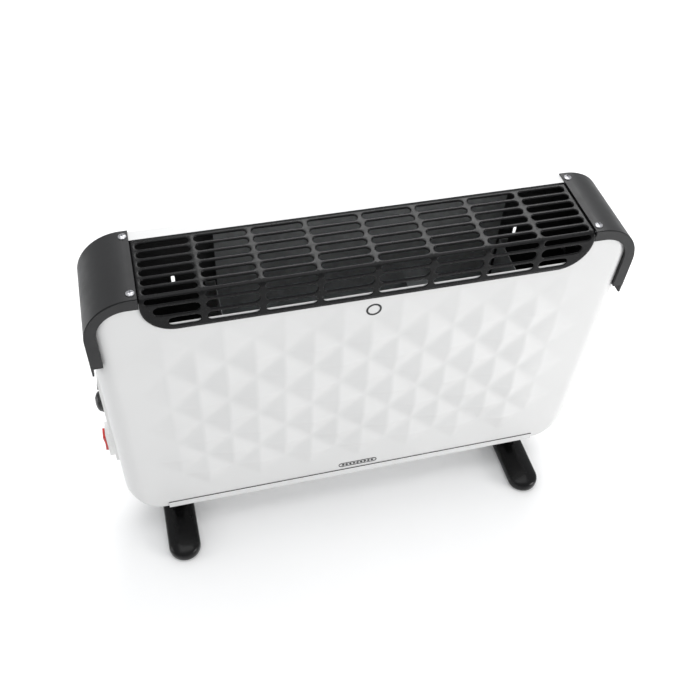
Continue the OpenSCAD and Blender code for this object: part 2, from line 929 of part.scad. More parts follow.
front_panel();
rear_panel();
base_tray();
outlet_grille();
cap_left();
cap_right();
cap_screws();
case_screws();
foot_left();
foot_right();
foot_pads();
foot_screws();
badge();
ring_mark();
control_plate();
thermostat_body();
thermostat_shaft();
thermostat_knob();
heat_switch_housing();
heat_rocker();
fan_switch_housing();
fan_rocker();
bulkhead_left();
bulkhead_right();
rear_heat_shield();
front_heat_shield();
heating_bar_upper();
heating_bar_lower();
bar_insulators();
thermal_cutout();
cutout_bracket();
fan_frame();
fan_motor();
fan_shaft();
fan_rotor();
fan_screws();
terminal_block();
cord_gland();
live_lead();
neutral_lead();
heater_lead();
fan_lead();
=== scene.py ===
"""Looks for the fan convector heater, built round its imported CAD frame.

Blender's own units are metres. The shape functions below work in millimetres from the case's
centre line, on the floor, and Net turns them into metres in the frame.
"""

import json
import math

import bpy
from mathutils import Matrix, Vector


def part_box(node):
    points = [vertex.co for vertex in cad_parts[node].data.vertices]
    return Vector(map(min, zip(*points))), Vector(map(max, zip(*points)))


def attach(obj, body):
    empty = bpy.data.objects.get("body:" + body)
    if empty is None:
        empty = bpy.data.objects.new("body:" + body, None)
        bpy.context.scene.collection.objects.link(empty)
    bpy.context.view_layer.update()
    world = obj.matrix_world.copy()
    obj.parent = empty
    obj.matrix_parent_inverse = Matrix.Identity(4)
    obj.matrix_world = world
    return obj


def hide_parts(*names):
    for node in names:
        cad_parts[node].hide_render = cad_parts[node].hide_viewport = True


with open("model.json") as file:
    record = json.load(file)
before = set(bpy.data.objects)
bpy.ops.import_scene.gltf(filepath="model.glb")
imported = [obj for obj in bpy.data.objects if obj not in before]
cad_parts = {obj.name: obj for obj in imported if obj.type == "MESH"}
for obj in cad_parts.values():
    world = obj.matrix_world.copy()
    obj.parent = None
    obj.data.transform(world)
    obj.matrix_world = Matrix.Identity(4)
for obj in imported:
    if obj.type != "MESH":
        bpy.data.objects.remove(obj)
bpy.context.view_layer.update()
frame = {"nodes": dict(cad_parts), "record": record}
NODES = frame["nodes"]
MM = 0.001
SHARP_ANGLE = math.radians(30)  # edges of the CAD nodes that turn more are sharp
PIECE_SHARP_ANGLE = math.radians(50)


# ---------- places read from the frame, in millimetres ----------


def box_mm(node):
    low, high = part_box(node)
    return low / MM, high / MM


CASE_LOW, CASE_HIGH = box_mm("rear_panel")
CENTRE_X = (CASE_LOW.x + CASE_HIGH.x) / 2
HALF_W = (CASE_HIGH.x - CASE_LOW.x) / 2
HALF_D = CASE_HIGH.y
TOP = CASE_HIGH.z
SEAM_Y = box_mm("front_panel")[1].y
GRILLE_LOW = box_mm("outlet_grille")[0]
TRAY_LOW, TRAY_HIGH = box_mm("base_tray")
BOTTOM = TRAY_LOW.z

# the case and its outlet, as in the CAD
LOWER_R = 40.0
UPPER_R = 45.0
SHEET = 0.6
OUTLET_HALF = 205.0  # half the outlet's width behind the flap
OUTLET_SILL = 360.4  # top of the front panel behind the flap
OUTLET_STEP = 372.0  # above this the outlet is wider
OUTLET_WIDE = 211.5
GRILLE_HALF = 214.5
OPENING_HALF = GRILLE_HALF + 1.5
FOLD_R = 5.0
FOLD_Z = TOP - FOLD_R


# ---------- mesh tools ----------


def blend_in(value, start, end):
    """0 at start, 1 at end, smooth between. start may be the larger."""
    share = min(1.0, max(0.0, (value - start) / (end - start)))
    return share * share * (3 - 2 * share)


def steps(start, end, count):
    return [start + (end - start) * i / count for i in range(count + 1)]


class Net:
    """Faces that share their points, in millimetres from the case's centre line."""

    def __init__(self):
        self.places = []
        self.known = {}
        self.faces = []

    def point(self, x, y, z):
        key = (round(x, 3), round(y, 3), round(z, 3))
        if key not in self.known:
            self.known[key] = len(self.places)
            self.places.append(((x + CENTRE_X) * MM, y * MM, z * MM))
        return self.known[key]

    def face(self, *corners):
        unlike = [c for i, c in enumerate(corners) if c != corners[i - 1]]
        if len(set(unlike)) > 2:
            self.faces.append(unlike)

    def strip(self, first, second, closed=False):
        """Quads between two rows of points of the same length."""
        count = len(first)
        for i in range(count if closed else count - 1):
            j = (i + 1) % count
            self.face(first[i], first[j], second[j], second[i])

    def piece(self, name, slot_name, body, *nodes):
        mesh = bpy.data.meshes.new(name)
        mesh.from_pydata(self.places, [], self.faces)
        mesh.validate()
        mesh.shade_smooth()
        thing = bpy.data.objects.new(name, mesh)
        bpy.context.scene.collection.objects.link(thing)
        mesh.materials.append(MATERIALS[slot_name])
        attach(thing, body)
        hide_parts(*nodes)
        return thing


def thicken(thing, thickness):
    shell = thing.modifiers.new("thickness", "SOLIDIFY")
    shell.thickness = thickness * MM
    shell.offset = -1.0


def soften(thing, width):
    """Rounds the sharp edges, as a press, a mould or a coat of paint leaves them."""
    bevel = thing.modifiers.new("edges", "BEVEL")
    bevel.width = width * MM
    bevel.segments = 2
    bevel.limit_method = "ANGLE"
    bevel.angle_limit = SHARP_ANGLE


# ---------- front panel ----------

# the embossed lattice: its columns and rows, and each diamond's own size
COLUMN_PITCH = 28.8
ROW_PITCH = 29.65
TOP_ROW_Z = 323.15
LAST_COLUMN = 7
LAST_ROW = 7
DIAMOND_HALF_W = 25.0
DIAMOND_HALF_H = 25.5
DIAMOND_RISE = 4.4

# the radius at which the front rounds back: wide at the upright sides, tight along the bottom and top
UPRIGHT_ROUND = 20.0
EDGE_ROUND = 3.0

PANEL_CELLS = 12  # mesh cells across half a diamond
WING_CELLS = 20  # mesh cells from the lattice to each side
WING_START = 7.5 * COLUMN_PITCH
LIP_JOGGLE = 0.3  # how far the strip behind the tray's lip stands out to meet it
TRAY_OPENING_HALF = (TRAY_HIGH.x - TRAY_LOW.x) / 2 + 0.4


def rounded_ridge(distance, softness):
    return math.sqrt(distance * distance + softness * softness) - softness


def diamond_height(across, up):
    """One diamond's height from 0 to 1: a crisp ridge and a soft foot."""
    upright_softness, level_softness, foot = 0.5, 0.9, 0.07
    slope = 1 - rounded_ridge(across, upright_softness) / DIAMOND_HALF_W
    slope -= rounded_ridge(up, level_softness) / DIAMOND_HALF_H
    return (slope + math.sqrt(slope * slope + foot * foot)) / 2


def emboss(x, z):
    """How far the embossed lattice stands out, fading towards the panel's borders."""
    column = x / COLUMN_PITCH
    row = (TOP_ROW_Z - z) / ROW_PITCH
    height = 0.0
    for i in (math.floor(column), math.floor(column) + 1):
        for j in (math.floor(row), math.floor(row) + 1):
            if (i + j) % 2 and 0 <= j <= LAST_ROW and abs(i) <= LAST_COLUMN:
                here = diamond_height(x - i * COLUMN_PITCH, z - TOP_ROW_Z + j * ROW_PITCH)
                height = max(height, here)
    fade_side = 1 - 0.5 * blend_in(abs(x), 170, 215)
    fade_top = 1 - 0.5 * blend_in(z, 285, 325)
    fade_low = 1 - 0.25 * blend_in(z, 150, 110)
    return DIAMOND_RISE * height * fade_side * fade_top * fade_low


def case_reach(z):
    """Half the case's width at a height, with its round corners."""
    below = BOTTOM + LOWER_R - z
    above = z - (TOP - UPPER_R)
    if below > 0:
        return HALF_W - LOWER_R + math.sqrt(max(0.0, LOWER_R ** 2 - below ** 2))
    if above > 0:
        return HALF_W - UPPER_R + math.sqrt(max(0.0, UPPER_R ** 2 - above ** 2))
    return HALF_W


def edge_drop(x, z):
    """How far the front falls back where it rounds into the sides."""
    inset = HALF_W - abs(x)
    share = 1.0  # 1 beside the upright sides, 0 along the bottom and the top
    for corner_r, past in ((LOWER_R, BOTTOM + LOWER_R - z), (UPPER_R, z - TOP + UPPER_R)):
        out = corner_r - (HALF_W - abs(x))
        if past > 0:
            if out > 0:
                reach = math.hypot(out, past)
                inset = corner_r - reach
                share = (out / reach) ** 2
            else:
                inset = corner_r - past
                share = 0.0
    radius = EDGE_ROUND + (UPRIGHT_ROUND - EDGE_ROUND) * share
    inset = max(0.0, inset)
    if inset >= radius:
        return 0.0
    return radius - math.sqrt(radius ** 2 - (radius - inset) ** 2)


def spread(values, extra, least):
    """The values with some extra ones put in, and any that crowd those left out."""
    kept = [v for v in values if all(abs(v - e) > least for e in extra)]
    return sorted(kept + list(extra))


def panel_columns():
    """The mesh's columns across the lattice, with the outlet's edges among them."""
    step = COLUMN_PITCH / PANEL_CELLS
    right = spread([i * step for i in range(round(WING_START / step) + 1)],
                   (OUTLET_HALF, OUTLET_WIDE, OPENING_HALF), 0.9)
    return [-x for x in reversed(right[1:])] + right


def panel_rows():
    """The mesh's rows, with the lower corners' turns and the outlet's edges among them."""
    step = ROW_PITCH / PANEL_CELLS
    aligned = [TOP_ROW_Z + step * i for i in range(-110, 40)]
    aligned = [z for z in aligned if BOTTOM + 4 < z < TOP - 1]
    turns = [math.radians(5 * i) for i in range(6)]
    corner_rows = [BOTTOM + LOWER_R * (1 - math.cos(turn)) for turn in turns]
    return spread(aligned, corner_rows + [OUTLET_SILL, OUTLET_STEP, FOLD_Z, TOP], 0.8)


def settled(x, z):
    """The lowest rows lie a little higher where the base tray closes the case."""
    low = BOTTOM + 0.7 * blend_in(abs(x), TRAY_OPENING_HALF + 2.2, TRAY_OPENING_HALF)
    share = max(0.0, 1 - (z - BOTTOM) / 5.0)
    return x, z + (low - BOTTOM) * share


def panel_point(net, x, z):
    behind_lip = blend_in(z, 67.0, 65.0) * blend_in(z, BOTTOM + 1.0, BOTTOM + 4.0)
    behind_lip *= blend_in(abs(x), TRAY_OPENING_HALF + 2.0, TRAY_OPENING_HALF - 4.0)
    y = -HALF_D + edge_drop(x, z) - LIP_JOGGLE * behind_lip - emboss(x, z)
    return net.point(x, y, z)


def in_outlet(x, z):
    if z > FOLD_Z:
        return x < OPENING_HALF
    return z > OUTLET_SILL and x < (OUTLET_WIDE if z > OUTLET_STEP else OUTLET_HALF)


def make_front_panel():
    net = Net()
    rows = panel_rows()
    inner = panel_columns()
    wing_shares = [math.sin(math.pi / 2 * share) for share in steps(0, 1, WING_CELLS)[1:]]
    places = []
    for z in rows:
        reach = case_reach(z)
        wing = [WING_START + (reach - WING_START) * share for share in wing_shares]
        line = [-x for x in reversed(wing)] + inner + wing
        places.append([settled(x, z) for x in line])
    grid = [[panel_point(net, *place) for place in line] for line in places]

    for j in range(len(rows) - 1):
        middle_z = (rows[j] + rows[j + 1]) / 2
        for i in range(len(grid[0]) - 1):
            middle_x = abs(places[j][i][0] + places[j][i + 1][0]) / 2
            if not in_outlet(middle_x, middle_z):
                net.face(grid[j][i], grid[j][i + 1], grid[j + 1][i + 1], grid[j + 1][i])

    # the sides, from the rounded front edge back to the seam
    for side in (0, -1):
        low_run = [p for p in places[0] if abs(p[0]) >= TRAY_OPENING_HALF and (p[0] < 0) == (side == 0)]
        top_run = [p for p in places[-1] if abs(p[0]) >= OPENING_HALF and (p[0] < 0) == (side == 0)]
        outline = sorted(low_run, key=lambda p: abs(p[0])) + [line[side] for line in places[1:-1]]
        outline += sorted(top_run, key=lambda p: -abs(p[0]))
        rims = []
        for x, z in outline:
            front = panel_point(net, x, z)
            front_y = net.places[front][1] / MM
            rims.append([front] + [net.point(x, y, z) for y in steps(front_y, SEAM_Y, 4)[1:]])
        for first, second in zip(rims, rims[1:]):
            net.strip(*((first, second) if side else (second, first)))
    panel = net.piece("front_panel_skin", "white_steel", "case", "front_panel")
    thicken(panel, SHEET)


# ---------- outlet grille ----------

GRILLE_T = 0.6
GRILLE_BACK_Y = 31.7
GRILLE_RIM = 1.7  # plain strip at the two ends
FLAP_CORNER_R = 31.0
COLUMNS = 8
SLOT_PITCH_X = 53.2
SLOT_PITCH_Y = 11.6
SLOT_LEN = 47.8
TOP_ROWS = 6
FIRST_ROW_Y = 23.0
FOLD_ROW_RUN = 7.25  # from the fold's start to the row on the fold
UPPER_ROW_Z = 378.0
LOWER_ROW_Z = 363.8
HEM = 2.8  # least plain strip under the lowest row

# the rolled rims of the slots, and the mesh round them
ROLL_R = 1.3
ROLL_TURNS = steps(0.0, math.pi / 2, 5)
RUN_STEPS = 12


class Slot:
    """A slot on the unrolled grille: its centre, its length across, its width and its rim's depth."""

    def __init__(self, x, run, length, width, roll):
        self.x = x
        self.run = run
        self.roll = roll
        self.half_axis = (length - width) / 2
        self.radius = width / 2

    def nearest(self, x, run):
        """The point of the slot's outline that faces a point of its cell's border."""
        axis_x = self.x + max(-self.half_axis, min(self.half_axis, x - self.x))
        away_x, away_run = x - axis_x, run - self.run
        reach = math.hypot(away_x, away_run)
        return axis_x + away_x * self.radius / reach, self.run + away_run * self.radius / reach


class Grille:
    """The grille as a flat sheet that runs from its back edge over the fold to its lower edge."""

    def __init__(self):
        self.flap_y = GRILLE_LOW.y
        self.flap_bottom = GRILLE_LOW.z
        self.fold_start = GRILLE_BACK_Y - (self.flap_y + FOLD_R)
        self.flap_start = self.fold_start + FOLD_R * math.pi / 2
        self.net = Net()

    def run_at_y(self, y):
        return GRILLE_BACK_Y - y

    def run_at_z(self, z):
        return self.flap_start + FOLD_Z - z

    def point(self, x, run, depth=0.0):
        """A point of the sheet, or one at some depth behind it."""
        if run <= self.fold_start:
            return self.net.point(x, GRILLE_BACK_Y - run, TOP - depth)
        if run < self.flap_start:
            turn = (run - self.fold_start) / FOLD_R
            reach = FOLD_R - depth
            return self.net.point(x, self.flap_y + FOLD_R - reach * math.sin(turn),
                                  FOLD_Z + reach * math.cos(turn))
        return self.net.point(x, self.flap_y + depth, FOLD_Z - (run - self.flap_start))

    def edge_x(self, run):
        """Half the sheet's width, with the flap's round lower corners."""
        below = run - self.run_at_z(self.flap_bottom + FLAP_CORNER_R)
        if below <= 0:
            return GRILLE_HALF
        return GRILLE_HALF - FLAP_CORNER_R + math.sqrt(max(0.0, FLAP_CORNER_R ** 2 - below ** 2))

    def cell_x(self, column, share, run):
        """A place across a column, where share runs from -1 to 1."""
        low = (column - 0.5) * SLOT_PITCH_X
        high = (column + 0.5) * SLOT_PITCH_X
        if column > 3:
            high = self.edge_x(run) - GRILLE_RIM
        if column < -3:
            low = -self.edge_x(run) + GRILLE_RIM
        return low + (high - low) * (share + 1) / 2

    def cell(self, column, start, end, slot):
        """Quads between a cell's border and its slot."""
        border = [(self.cell_x(column, share, start), start) for share in SHARES_X[:-1]]
        runs = steps(start, end, RUN_STEPS)
        border += [(self.cell_x(column, 1, run), run) for run in runs[:-1]]
        border += [(self.cell_x(column, share, end), end) for share in reversed(SHARES_X[1:])]
        border += [(self.cell_x(column, -1, run), run) for run in reversed(runs[1:])]
        rings = [[] for _ in range(len(ROLL_TURNS) + 1)]
        for x, run in border:
            slot_x, slot_run = slot.nearest(x, run)
            away_x, away_run = x - slot_x, run - slot_run
            reach = math.hypot(away_x, away_run)
            roll = min(ROLL_R, 0.75 * reach)
            rings[0].append(self.point(x, run))
            for ring, turn in zip(rings[1:], ROLL_TURNS):
                share = roll * (1 - math.sin(turn)) / reach
                ring.append(self.point(slot_x + away_x * share, slot_run + away_run * share,
                                       slot.roll * (1 - math.cos(turn))))
        for outer, inner in zip(rings, rings[1:]):
            self.net.strip(inner, outer, closed=True)


def cell_shares():
    """Places across a cell, closer together where the slot's ends turn."""
    half = SLOT_PITCH_X / 2
    ends = [20.1, 20.9, 21.8, 23.0, 24.6, half]
    right = [0.0, 6.7, 13.4] + ends
    return [-x / half for x in reversed(right[1:])] + [x / half for x in right]


SHARES_X = cell_shares()


def grille_rows(grille):
    """Each row's centre, its slots' width, how much shorter its end slots are, its rims' depth."""
    rows = []
    for i in range(TOP_ROWS):
        centre = grille.run_at_y(FIRST_ROW_Y - i * SLOT_PITCH_Y)
        rows.append((centre, 7.6, 0.0, 1.4))
    rows.append((grille.fold_start + FOLD_ROW_RUN, 6.8, 0.0, 0.9))
    rows.append((grille.run_at_z(UPPER_ROW_Z), 10.6, 6.5, 1.2))
    rows.append((grille.run_at_z(LOWER_ROW_Z), 9.6, 18.5, 0.6))
    return rows


def row_borders(rows):
    """The lines half-way between the rows' slots, and those round them all."""
    borders = [rows[0][0] - SLOT_PITCH_Y / 2]
    for (centre, width, *_), (after, width_after, *_) in zip(rows, rows[1:]):
        borders.append((centre + width / 2 + after - width_after / 2) / 2)
    last_centre, last_width, *_ = rows[-1]
    borders.append(last_centre + last_width / 2 + HEM)
    return borders


def add_grille_columns(grille, rows, borders):
    """The slots' cells, and the plain strips along the back and the lower edge."""
    first, last = borders[0], borders[-1]
    hem = grille.run_at_z(grille.flap_bottom)
    for k in range(COLUMNS):
        column = k - (COLUMNS - 1) / 2
        for (centre, width, end_cut, roll), start, end in zip(rows, borders, borders[1:]):
            cut = end_cut if abs(column) > 3 else 0.0
            middle = column * SLOT_PITCH_X - math.copysign(cut / 2, column)
            grille.cell(column, start, end, Slot(middle, centre, SLOT_LEN - cut, width, roll))
        back = [grille.point(grille.cell_x(column, s, first), 0.0) for s in SHARES_X]
        front = [grille.point(grille.cell_x(column, s, first), first) for s in SHARES_X]
        grille.net.strip(front, back)
        inner = [grille.point(grille.cell_x(column, s, last), last) for s in SHARES_X]
        low_x = -GRILLE_HALF + FLAP_CORNER_R if column < -3 else (column - 0.5) * SLOT_PITCH_X
        high_x = GRILLE_HALF - FLAP_CORNER_R if column > 3 else (column + 0.5) * SLOT_PITCH_X
        outer = [grille.point(low_x + (high_x - low_x) * (s + 1) / 2, hem) for s in SHARES_X]
        grille.net.strip(outer, inner)


def add_grille_ends(grille, borders):
    """The plain strips at the two ends, and the rest of the flap's round corners."""
    hem = grille.run_at_z(grille.flap_bottom)
    corner_x = GRILLE_HALF - FLAP_CORNER_R
    first_turn = math.asin((grille.edge_x(borders[-1]) - corner_x) / FLAP_CORNER_R)
    runs = [0.0]
    for start, end in zip(borders, borders[1:]):
        runs += steps(start, end, RUN_STEPS)[:-1]
    runs.append(borders[-1])
    for side in (-1, 1):
        rim = [grille.point(side * (grille.edge_x(r) - GRILLE_RIM), r) for r in runs]
        edge = [grille.point(side * grille.edge_x(r), r) for r in runs]
        grille.net.strip(*((rim, edge) if side > 0 else (edge, rim)))
        pivot = rim[-1]
        arc = [edge[-1]]
        for i in range(1, 7):
            turn = first_turn * (1 - i / 6)
            run = hem - FLAP_CORNER_R * (1 - math.cos(turn))
            arc.append(grille.point(side * (corner_x + FLAP_CORNER_R * math.sin(turn)), run))
        for first, second in zip(arc, arc[1:]):
            grille.net.face(*((pivot, second, first) if side > 0 else (pivot, first, second)))


def make_outlet_grille():
    grille = Grille()
    rows = grille_rows(grille)
    borders = row_borders(rows)
    add_grille_columns(grille, rows, borders)
    add_grille_ends(grille, borders)
    piece = grille.net.piece("outlet_grille_skin", "black_steel", "case", "outlet_grille")
    thicken(piece, GRILLE_T)


# ---------- feet ----------


def foot_profile():
    """Distance from the foot's spine and height, from the crown round to the sole."""
    crown_r, crown_z, crown_half = 34.0, 17.0, 15.6
    half_w, sole, edge_drop_z = 18.3, 1.6, 4.3
    centre_z = crown_z - crown_r
    top = [(r, centre_z + math.sqrt(crown_r ** 2 - r ** 2)) for r in steps(0.0, crown_half, 8)]
    wall_top = centre_z + math.sqrt(crown_r ** 2 - half_w ** 2) - edge_drop_z
    # a quadratic curve from the crown's slope into the upright wall
    last_r, last_z = top[-1]
    crown_slope = last_r / math.sqrt(crown_r ** 2 - last_r ** 2)
    control_z = last_z - (half_w - last_r) * crown_slope
    bend = []
    for share in steps(0.0, 1.0, 5)[1:]:
        start, control, end = (1 - share) ** 2, 2 * share * (1 - share), share ** 2
        r = start * last_r + (control + end) * half_w
        z = start * last_z + control * control_z + end * wall_top
        bend.append((r, z))
    low = [(half_w, 4.2), (half_w - 0.4, 2.6), (half_w - 1.6, sole), (half_w - 5, sole), (0.0, sole)]
    return top + bend + low


def foot_ring(half_axis, count):
    """Points along the spine and directions away from it, once round the foot."""
    ring = []
    for end in (1, -1):
        for i in range(count + 1):
            turn = math.pi * i / count if end > 0 else math.pi * (1 + i / count)
            ring.append((end * half_axis, Vector((math.cos(turn), math.sin(turn)))))
    return ring


def post_outline(half_x, half_y, corner):
    outline = []
    for k in range(4):
        sx, sy = ((1, 1), (-1, 1), (-1, -1), (1, -1))[k]
        for i in range(7):
            turn = math.pi / 2 * (k + i / 6)
            outline.append((sx * (half_x - corner) + corner * math.cos(turn),
                            sy * (half_y - corner) + corner * math.sin(turn)))
    return outline


def add_post(net, centre):
    """The post up to the base tray, with rounded upright edges and a flared root."""
    half_x, half_y, corner = 15.0, 18.0, 6.0
    outline = post_outline(half_x, half_y, corner)
    top = BOTTOM - 0.05
    levels = []
    for z, flare in ((11.0, 2.6), (14.0, 2.4), (16.5, 1.4), (19.0, 0.5), (22.0, 0.0), (top, 0.0)):
        levels.append([net.point(centre + x * (1 + flare / half_x), y * (1 + flare / half_y), z)
                       for x, y in outline])
    for first, second in zip(levels, levels[1:]):
        net.strip(first, second, closed=True)
    net.face(*levels[-1])
    net.face(*reversed(levels[0]))


def make_foot(name):
    net = Net()
    low, high = box_mm(name)
    centre = (low.x + high.x) / 2 - CENTRE_X
    half_axis = (high.y - low.y) / 2 - (high.x - low.x) / 2
    rings = []
    for r, z in foot_profile():
        rings.append([net.point(centre + away.x * r, spine + away.y * r, z)
                      for spine, away in foot_ring(half_axis, 24)])
    for first, second in zip(rings, rings[1:]):
        net.strip(second, first, closed=True)
    add_post(net, centre)
    piece = net.piece(f"{name}_body", "foot_plastic", "case", name)
    piece.data.set_sharp_from_angle(angle=PIECE_SHARP_ANGLE)


# ---------- thermostat knob ----------


def make_knob():
    """A domed knob with a milled rim and a raised pointer."""
    net = Net()
    low, high = box_mm("thermostat_knob")
    tip_x, back_x = low.x - CENTRE_X, high.x - CENTRE_X
    centre_z = (low.z + high.z) / 2
    radius = (high.z - low.z) / 2
    depth = back_x - tip_x
    count, ribs = 96, 32
    rib_depth = 0.25
    pointer_half, pointer_rise = 1.7, 0.45
    profile = [(0.0, 0.0)]
    profile += [(radius * 0.93 * math.sin(t), depth * 0.62 * (1 - math.cos(t)))
                for t in steps(0.0, math.pi / 2, 12)[1:]]
    profile += [(radius * 0.965, depth * 0.70), (radius, depth * 0.76), (radius, depth), (0.0, depth)]
    rings = []
    for index, (r, back) in enumerate(profile):
        milled = 9 <= index <= 14
        ring = []
        for turn in steps(0, 2 * math.pi, count)[:-1]:
            up, side = math.cos(turn), math.sin(turn)
            reach = r - (rib_depth * (1 + math.cos(turn * ribs)) / 2 if milled else 0.0)
            pointer = 0.0
            off = abs(side * r) / pointer_half
            if r > 2 and up > 0 and off < 1:
                pointer = pointer_rise * (1 - off ** 4) * blend_in(r, 4, 6)
            x = tip_x + max(0.0, back - pointer)
            ring.append(net.point(x, reach * side, centre_z + reach * up))
        rings.append(ring)
    for first, second in zip(rings, rings[1:]):
        net.strip(second, first, closed=True)
    piece = net.piece("thermostat_knob_cap", "black_plastic", "thermostat", "thermostat_knob")
    piece.data.set_sharp_from_angle(angle=PIECE_SHARP_ANGLE)


# ---------- camera, light and floor ----------

CAMERA_PLACE = (-0.1926, -0.5826, 0.9454)
CAMERA_YAW = math.radians(17.12)
CAMERA_PITCH = math.radians(-49.4)
CAMERA_ROLL = math.radians(3.82)
CAMERA_LENS = 45.17


def make_camera():
    data = bpy.data.cameras.new("photo_view")
    data.sensor_width = 36.0
    data.lens = CAMERA_LENS
    data.shift_x = 0.0158
    data.shift_y = -0.0028
    data.clip_start = 0.01
    data.clip_end = 50.0
    camera = bpy.data.objects.new("photo_view", data)
    bpy.context.scene.collection.objects.link(camera)
    level = Vector((math.sin(CAMERA_YAW), math.cos(CAMERA_YAW), 0.0))
    ahead = level * math.cos(CAMERA_PITCH) + Vector((0, 0, math.sin(CAMERA_PITCH)))
    right = Vector((math.cos(CAMERA_YAW), -math.sin(CAMERA_YAW), 0.0))
    up = right.cross(ahead)
    rolled_right = right * math.cos(CAMERA_ROLL) + up * math.sin(CAMERA_ROLL)
    rolled_up = up * math.cos(CAMERA_ROLL) - right * math.sin(CAMERA_ROLL)
    turn = Matrix((rolled_right, rolled_up, -ahead)).transposed()
    camera.matrix_world = Matrix.Translation(CAMERA_PLACE) @ turn.to_4x4()
    bpy.context.scene.camera = camera


def add_area(name, place, target, size, power, colour):
    data = bpy.data.lights.new(name, "AREA")
    data.shape = "RECTANGLE"
    data.size, data.size_y = size
    data.energy = power
    data.color = colour
    light = bpy.data.objects.new(name, data)
    light.location = place
    light.rotation_euler = (Vector(target) - Vector(place)).to_track_quat("-Z", "Y").to_euler()
    bpy.context.scene.collection.objects.link(light)


def make_light():
    world = bpy.data.worlds.new("studio")
    world.use_nodes = True
    background = world.node_tree.nodes["Background"]
    background.inputs["Color"].default_value = (0.97, 0.985, 1.0, 1.0)
    background.inputs["Strength"].default_value = 0.62
    bpy.context.scene.world = world
    middle = (0, 0, 0.2)
    add_area("key", (1.9, -1.4, 0.65), middle, (1.0, 1.0), 29, (1.0, 0.99, 0.98))
    add_area("fill", (-2.2, 0.2, 0.7), middle, (1.0, 1.0), 9, (1.0, 1.0, 1.0))
    add_area("overhead", (0.0, 0.15, 2.4), middle, (2.5, 2.0), 26, (1.0, 1.0, 1.0))
    # stands where the camera sees it mirrored in the level faces of the grille and the caps
    add_area("sheen", (0.65, 1.57, 1.9), (0, 0, 0.4), (1.5, 0.6), 24, (1.0, 1.0, 1.0))


def make_floor():
    mesh = bpy.data.meshes.new("floor")
    half = 6.0
    corners = [(-half, -half, 0), (half, -half, 0), (half, half, 0), (-half, half, 0)]
    mesh.from_pydata(corners, [], [(0, 1, 2, 3)])
    floor = bpy.data.objects.new("floor", mesh)
    bpy.context.scene.collection.objects.link(floor)
    material, shader = new_material("floor_white")
    shader.inputs["Base Color"].default_value = (0.95, 0.95, 0.95, 1)
    shader.inputs["Roughness"].default_value = 0.9
    floor.data.materials.append(material)


# ---------- material tools ----------


def new_material(name):
    material = bpy.data.materials.new(name)
    material.use_nodes = True
    return material, material.node_tree.nodes["Principled BSDF"]


class Recipe:
    """A Principled material built from object-space patterns."""

    def __init__(self, name, **values):
        self.material, self.shader = new_material(name)
        self.tree = self.material.node_tree
        self.coordinates = self.node("ShaderNodeTexCoord")
        self.place = self.coordinates.outputs["Object"]
        self.normal = None
        for key, value in values.items():
            self.shader.inputs[key.replace("_", " ")].default_value = value

    def node(self, kind, **settings):
        made = self.tree.nodes.new(kind)
        for key, value in settings.items():
            setattr(made, key, value)
        return made

    def link(self, source, target):
        self.tree.links.new(source, target)

    def stretched(self, scale):
        mapping = self.node("ShaderNodeMapping")
        mapping.inputs["Scale"].default_value = scale
        self.link(self.place, mapping.inputs["Vector"])
        return mapping.outputs["Vector"]

    def noise(self, scale, detail=4.0, rough=0.5, stretch=None):
        made = self.node("ShaderNodeTexNoise")
        made.inputs["Scale"].default_value = scale
        made.inputs["Detail"].default_value = detail
        made.inputs["Roughness"].default_value = rough
        self.link(self.stretched(stretch) if stretch else self.place, made.inputs["Vector"])
        return made.outputs["Fac"]

    def cells(self, scale):
        made = self.node("ShaderNodeTexVoronoi")
        made.inputs["Scale"].default_value = scale
        self.link(self.place, made.inputs["Vector"])
        return made.outputs["Color"]

    def ramp(self, source, low, high, start=0.3, end=0.7):
        made = self.node("ShaderNodeValToRGB")
        made.color_ramp.elements[0].position = start
        made.color_ramp.elements[1].position = end
        made.color_ramp.elements[0].color = (*low, 1)
        made.color_ramp.elements[1].color = (*high, 1)
        self.link(source, made.inputs["Fac"])
        return made.outputs["Color"]

    def span(self, source, low, high):
        made = self.node("ShaderNodeMapRange")
        made.inputs["From Min"].default_value = 0.3
        made.inputs["From Max"].default_value = 0.7
        made.inputs["To Min"].default_value = low
        made.inputs["To Max"].default_value = high
        self.link(source, made.inputs["Value"])
        return made.outputs["Result"]

    def mix(self, first, second, share):
        made = self.node("ShaderNodeMix", data_type="RGBA")
        colours = [socket for socket in made.inputs if socket.type == "RGBA"]
        self.link(first, colours[0])
        self.link(second, colours[1])
        if isinstance(share, float):
            made.inputs["Factor"].default_value = share
        else:
            self.link(share, made.inputs["Factor"])
        return [socket for socket in made.outputs if socket.type == "RGBA"][0]

    def facing_out(self, centre):
        """1 on surfaces that face away from the case's middle, 0 on its inner side."""
        away = self.node("ShaderNodeVectorMath", operation="SUBTRACT")
        self.link(self.place, away.inputs[0])
        away.inputs[1].default_value = centre
        dot = self.node("ShaderNodeVectorMath", operation="DOT_PRODUCT")
        self.link(away.outputs["Vector"], dot.inputs[0])
        self.link(self.coordinates.outputs["Normal"], dot.inputs[1])
        over = self.node("ShaderNodeMath", operation="GREATER_THAN")
        self.link(dot.outputs["Value"], over.inputs[0])
        over.inputs[1].default_value = -0.01
        return over.outputs["Value"]

    def colour(self, source):
        self.link(source, self.shader.inputs["Base Color"])

    def rough(self, source):
        self.link(source, self.shader.inputs["Roughness"])

    def bump(self, source, height, strength=1.0):
        made = self.node("ShaderNodeBump")
        made.inputs["Distance"].default_value = height
        made.inputs["Strength"].default_value = strength
        self.link(source, made.inputs["Height"])
        if self.normal:
            self.link(self.normal, made.inputs["Normal"])
        self.normal = made.outputs["Normal"]
        self.link(self.normal, self.shader.inputs["Normal"])


def tinted(colour, factor):
    return tuple(min(1.0, channel * factor) for channel in colour)


# ---------- materials ----------


